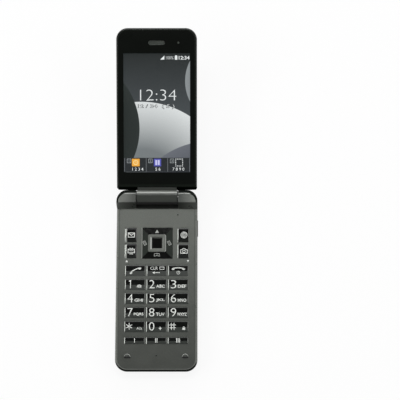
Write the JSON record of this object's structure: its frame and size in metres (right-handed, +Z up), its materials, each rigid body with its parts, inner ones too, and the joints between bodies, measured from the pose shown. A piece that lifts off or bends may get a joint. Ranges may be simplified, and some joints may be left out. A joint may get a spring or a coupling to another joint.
{
  "type": "flip phone",
  "caption": "Folding mobile phone: a keypad base and a screen lid on a barrel hinge, opened to its stop, with a clock display in the lid's outer face.",
  "frame": {"origin": "centre of the base's back face, the face that lies on the table", "axes": "+X across the phone to its right side seen from the keypad, +Y along the base from the mouthpiece end to the hinge, +Z up out of the keypad"},
  "size_m": [0.052, 0.2147, 0.0427],
  "materials": {
    "case_paint": "satin grey metallic paint",
    "rear_case_paint": "satin near-black paint",
    "panel_paint": "satin grey metallic paint",
    "key_cap": "gloss, black shading to dark grey",
    "navigation_black": "gloss black",
    "bright_trim": "bright silver paint",
    "side_key_paint": "grey metallic",
    "lid_black": "gloss black",
    "lid_mirror_black": "polished black",
    "window_black": "polished clear acrylic with a black printed border",
    "screen": "lit colour screen",
    "clock_screen": "lit white digits on black",
    "circuit_board": "solder mask",
    "shield_steel": "tinned steel",
    "silicone": "matt",
    "dome_film_steel": "clear film over steel domes",
    "microphone_can": "plated can",
    "battery_wrap": "wrapped metal can",
    "camera_black": "black barrel",
    "camera_glass": "polished",
    "speaker_steel": "plated",
    "socket_steel": "plated",
    "screw_steel": "black zinc",
    "hinge_steel": "ground",
    "flex_film": "copper-coloured film",
    "mesh": "woven mesh",
    "sensor_lens": "smoked lens"
  },
  "bodies": {
    "base": {"front_case": "case_paint", "keypad_panel": "panel_paint", "key_mat": "silicone", "dome_sheet": "dome_film_steel", "main_board": "circuit_board", "board_shield": "shield_steel", "microphone": "microphone_can", "rear_case": "rear_case_paint", "battery_pack": "battery_wrap", "battery_contacts": "shield_steel", "camera_module": "camera_black", "camera_window": "camera_glass", "loudspeaker": "speaker_steel", "vibration_motor": "speaker_steel", "charging_socket": "socket_steel", "case_screws": "screw_steel", "rubber_bumpers": "silicone", "hinge_shaft": "hinge_steel", "hinge_bush": "hinge_steel"},
    "lid": {"lid_front_case": "lid_black", "lid_cover": "lid_mirror_black", "display_window": "window_black", "main_display": "screen", "lid_board": "circuit_board", "clock_display": "clock_screen", "earpiece_speaker": "speaker_steel", "earpiece_mesh": "mesh", "light_sensor": "sensor_lens", "lid_screws": "screw_steel", "hinge_cartridge": "hinge_steel", "hinge_flex": "flex_film"},
    "key_mail": {"key_mail": "key_cap"},
    "key_tv": {"key_tv": "key_cap"},
    "key_web": {"key_web": "key_cap"},
    "key_camera": {"key_camera": "key_cap"},
    "key_call": {"key_call": "key_cap"},
    "key_clear": {"key_clear": "key_cap"},
    "key_end": {"key_end": "key_cap"},
    "key_1": {"key_1": "key_cap"},
    "key_2": {"key_2": "key_cap"},
    "key_3": {"key_3": "key_cap"},
    "key_4": {"key_4": "key_cap"},
    "key_5": {"key_5": "key_cap"},
    "key_6": {"key_6": "key_cap"},
    "key_7": {"key_7": "key_cap"},
    "key_8": {"key_8": "key_cap"},
    "key_9": {"key_9": "key_cap"},
    "key_star": {"key_star": "key_cap"},
    "key_0": {"key_0": "key_cap"},
    "key_hash": {"key_hash": "key_cap"},
    "key_shortcut_1": {"key_shortcut_1": "key_cap"},
    "key_shortcut_2": {"key_shortcut_2": "key_cap"},
    "key_shortcut_3": {"key_shortcut_3": "key_cap"},
    "nav_web": {"nav_web": "silicone"},
    "nav_pad": {"nav_pad": "navigation_black", "nav_trim": "bright_trim"},
    "ok_key": {"ok_key": "navigation_black"},
    "side_key": {"side_key": "side_key_paint"},
    "battery_cover": {"battery_cover": "rear_case_paint"},
    "socket_flap": {"socket_flap": "rear_case_paint"}
  },
  "joints": [
    {"name": "lid_hinge", "type": "hinge", "parent": "base", "child": "lid", "pos_m": [0, 0.05285, 0.0125], "axis": [1, 0, 0], "range_deg": [0, 165]},
    {"name": "key_mail_press", "type": "slide", "parent": "base", "child": "key_mail", "axis": [0, 0, -1], "range_m": [0, 0.00025], "stiffness_N_per_m": 4000},
    {"name": "key_tv_press", "type": "slide", "parent": "base", "child": "key_tv", "axis": [0, 0, -1], "range_m": [0, 0.00025], "stiffness_N_per_m": 4000},
    {"name": "key_web_press", "type": "slide", "parent": "base", "child": "key_web", "axis": [0, 0, -1], "range_m": [0, 0.00025], "stiffness_N_per_m": 4000},
    {"name": "key_camera_press", "type": "slide", "parent": "base", "child": "key_camera", "axis": [0, 0, -1], "range_m": [0, 0.00025], "stiffness_N_per_m": 4000},
    {"name": "key_call_press", "type": "slide", "parent": "base", "child": "key_call", "axis": [0, 0, -1], "range_m": [0, 0.00025], "stiffness_N_per_m": 4000},
    {"name": "key_clear_press", "type": "slide", "parent": "base", "child": "key_clear", "axis": [0, 0, -1], "range_m": [0, 0.00025], "stiffness_N_per_m": 4000},
    {"name": "key_end_press", "type": "slide", "parent": "base", "child": "key_end", "axis": [0, 0, -1], "range_m": [0, 0.00025], "stiffness_N_per_m": 4000},
    {"name": "key_1_press", "type": "slide", "parent": "base", "child": "key_1", "axis": [0, 0, -1], "range_m": [0, 0.00025], "stiffness_N_per_m": 4000},
    {"name": "key_2_press", "type": "slide", "parent": "base", "child": "key_2", "axis": [0, 0, -1], "range_m": [0, 0.00025], "stiffness_N_per_m": 4000},
    {"name": "key_3_press", "type": "slide", "parent": "base", "child": "key_3", "axis": [0, 0, -1], "range_m": [0, 0.00025], "stiffness_N_per_m": 4000},
    {"name": "key_4_press", "type": "slide", "parent": "base", "child": "key_4", "axis": [0, 0, -1], "range_m": [0, 0.00025], "stiffness_N_per_m": 4000},
    {"name": "key_5_press", "type": "slide", "parent": "base", "child": "key_5", "axis": [0, 0, -1], "range_m": [0, 0.00025], "stiffness_N_per_m": 4000},
    {"name": "key_6_press", "type": "slide", "parent": "base", "child": "key_6", "axis": [0, 0, -1], "range_m": [0, 0.00025], "stiffness_N_per_m": 4000},
    {"name": "key_7_press", "type": "slide", "parent": "base", "child": "key_7", "axis": [0, 0, -1], "range_m": [0, 0.00025], "stiffness_N_per_m": 4000},
    {"name": "key_8_press", "type": "slide", "parent": "base", "child": "key_8", "axis": [0, 0, -1], "range_m": [0, 0.00025], "stiffness_N_per_m": 4000},
    {"name": "key_9_press", "type": "slide", "parent": "base", "child": "key_9", "axis": [0, 0, -1], "range_m": [0, 0.00025], "stiffness_N_per_m": 4000},
    {"name": "key_star_press", "type": "slide", "parent": "base", "child": "key_star", "axis": [0, 0, -1], "range_m": [0, 0.00025], "stiffness_N_per_m": 4000},
    {"name": "key_0_press", "type": "slide", "parent": "base", "child": "key_0", "axis": [0, 0, -1], "range_m": [0, 0.00025], "stiffness_N_per_m": 4000},
    {"name": "key_hash_press", "type": "slide", "parent": "base", "child": "key_hash", "axis": [0, 0, -1], "range_m": [0, 0.00025], "stiffness_N_per_m": 4000},
    {"name": "key_shortcut_1_press", "type": "slide", "parent": "base", "child": "key_shortcut_1", "axis": [0, 0, -1], "range_m": [0, 0.00025], "stiffness_N_per_m": 4000},
    {"name": "key_shortcut_2_press", "type": "slide", "parent": "base", "child": "key_shortcut_2", "axis": [0, 0, -1], "range_m": [0, 0.00025], "stiffness_N_per_m": 4000},
    {"name": "key_shortcut_3_press", "type": "slide", "parent": "base", "child": "key_shortcut_3", "axis": [0, 0, -1], "range_m": [0, 0.00025], "stiffness_N_per_m": 4000},
    {"name": "nav_tilt_left_right", "type": "hinge", "parent": "base", "child": "nav_web", "pos_m": [0, 0.02375, 0.007], "axis": [0, 1, 0], "range_deg": [-1, 1], "stiffness_Nm_per_rad": 0.7},
    {"name": "nav_tilt_up_down", "type": "hinge", "parent": "nav_web", "child": "nav_pad", "pos_m": [0, 0.02375, 0.007], "axis": [1, 0, 0], "range_deg": [-1, 1], "stiffness_Nm_per_rad": 0.7},
    {"name": "ok_press", "type": "slide", "parent": "base", "child": "ok_key", "axis": [0, 0, -1], "range_m": [0, 0.0002], "stiffness_N_per_m": 5000},
    {"name": "side_key_press", "type": "slide", "parent": "base", "child": "side_key", "axis": [-1, 0, 0], "range_m": [0, 0.0003], "stiffness_N_per_m": 5000},
    {"name": "battery_cover_slide", "type": "slide", "parent": "base", "child": "battery_cover", "axis": [0, -1, 0], "range_m": [0, 0.078]},
    {"name": "socket_flap_hinge", "type": "hinge", "parent": "base", "child": "socket_flap", "pos_m": [-0.02535, 0.03145, 0.004], "axis": [0, 0, -1], "range_deg": [0, 90]}
  ]
}
